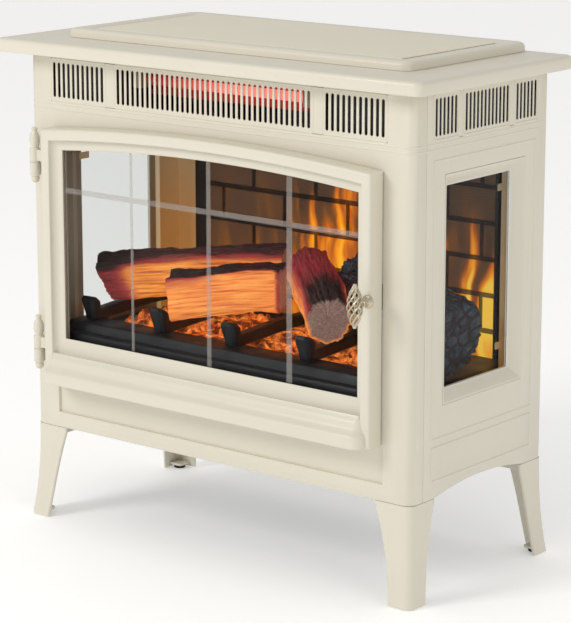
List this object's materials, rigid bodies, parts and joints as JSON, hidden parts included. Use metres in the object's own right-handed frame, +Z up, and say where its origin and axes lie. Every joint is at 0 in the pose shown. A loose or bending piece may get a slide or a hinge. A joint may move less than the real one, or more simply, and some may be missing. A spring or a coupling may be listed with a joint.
{
  "type": "electric fireplace",
  "caption": "Freestanding stove-style electric fireplace on four flared legs, with an arched glazed door, side windows, log set, brick screen and infrared heater behind a slotted grille.",
  "frame": {"origin": "on the floor, under the middle of the whole object's box", "axes": "+Z up, -Y towards the person in front of the door, +X to the right seen from the front"},
  "size_m": [0.61, 0.3223, 0.5875],
  "materials": {
    "cream_paint": "satin powder coat",
    "black_metal": "matt black enamel",
    "black_plastic": "fine texture",
    "rubber": "matt",
    "nickel": "aged nickel plate",
    "zinc": "galvanised",
    "aluminium": "bright rolled",
    "glass": "clear float",
    "quartz": "glowing quartz",
    "ceramic": "unglazed",
    "brick": "moulded brick",
    "wood": "painted moulded resin",
    "charred_wood": "painted moulded resin",
    "ember": "translucent moulded resin",
    "circuit_board": "solder resist"
  },
  "bodies": {
    "cabinet": {"mantel_top": "cream_paint", "top_grille_panel": "cream_paint", "cabinet_front": "cream_paint", "front_grille": "cream_paint", "side_panel_left": "cream_paint", "side_panel_right": "cream_paint", "side_grille_left": "cream_paint", "side_grille_right": "cream_paint", "side_window_frame_left": "cream_paint", "side_window_frame_right": "cream_paint", "leg_front_left": "cream_paint", "leg_front_right": "cream_paint", "leg_rear_left": "cream_paint", "leg_rear_right": "cream_paint", "hinge_upper_body_knuckle": "cream_paint", "hinge_lower_body_knuckle": "cream_paint", "back_panel": "black_metal", "base_pan": "black_metal", "firebox_floor": "black_metal", "firebox_ceiling": "black_metal", "firebox_liner": "black_metal", "log_grate": "black_metal", "cord_inlet": "black_plastic", "magnet_catch": "black_plastic", "rotor_bearing": "black_plastic", "control_panel": "black_plastic", "foot_pad_front_left": "rubber", "foot_pad_front_right": "rubber", "foot_pad_rear_left": "rubber", "foot_pad_rear_right": "rubber", "heater_housing": "zinc", "blower_housing": "zinc", "blower_motor": "zinc", "rotor_motor": "zinc", "heat_reflector": "aluminium", "side_glass_left": "glass", "side_glass_right": "glass", "quartz_tube": "quartz", "tube_holder_left": "ceramic", "tube_holder_right": "ceramic", "brick_panel": "brick", "log_rear_left": "wood", "log_front": "wood", "log_right": "wood", "log_charred": "charred_wood", "ember_bed": "ember", "led_board": "circuit_board", "control_board": "circuit_board"},
    "door": {"door_frame": "cream_paint", "door_glass": "glass", "handle_boss": "nickel", "handle_coil": "nickel", "hinge_upper_door_knuckle": "cream_paint", "hinge_lower_door_knuckle": "cream_paint"},
    "blower": {"blower_wheel": "black_plastic"},
    "flame_rotor": {"flame_rotor": "aluminium"},
    "power_button": {"button_power": "black_plastic"},
    "heat_button": {"button_heat": "black_plastic"},
    "flame_button": {"button_flame": "black_plastic"},
    "timer_button": {"button_timer": "black_plastic"}
  },
  "joints": [
    {"name": "door_swing", "type": "hinge", "parent": "cabinet", "child": "door", "pos_m": [-0.258, -0.116, 0.3225], "axis": [0, 0, -1], "range_deg": [0, 105]},
    {"name": "blower_spin", "type": "hinge", "parent": "cabinet", "child": "blower", "pos_m": [0, 0.03, 0.524], "axis": [1, 0, 0], "continuous": true},
    {"name": "flame_rotor_spin", "type": "hinge", "parent": "cabinet", "child": "flame_rotor", "pos_m": [0, 0.115, 0.165], "axis": [1, 0, 0], "continuous": true},
    {"name": "power_press", "type": "slide", "parent": "cabinet", "child": "power_button", "axis": [0, 1, 0], "range_m": [0, 0.0012], "stiffness_N_per_m": 300},
    {"name": "heat_press", "type": "slide", "parent": "cabinet", "child": "heat_button", "axis": [0, 1, 0], "range_m": [0, 0.0012], "stiffness_N_per_m": 300},
    {"name": "flame_press", "type": "slide", "parent": "cabinet", "child": "flame_button", "axis": [0, 1, 0], "range_m": [0, 0.0012], "stiffness_N_per_m": 300},
    {"name": "timer_press", "type": "slide", "parent": "cabinet", "child": "timer_button", "axis": [0, 1, 0], "range_m": [0, 0.0012], "stiffness_N_per_m": 300}
  ]
}
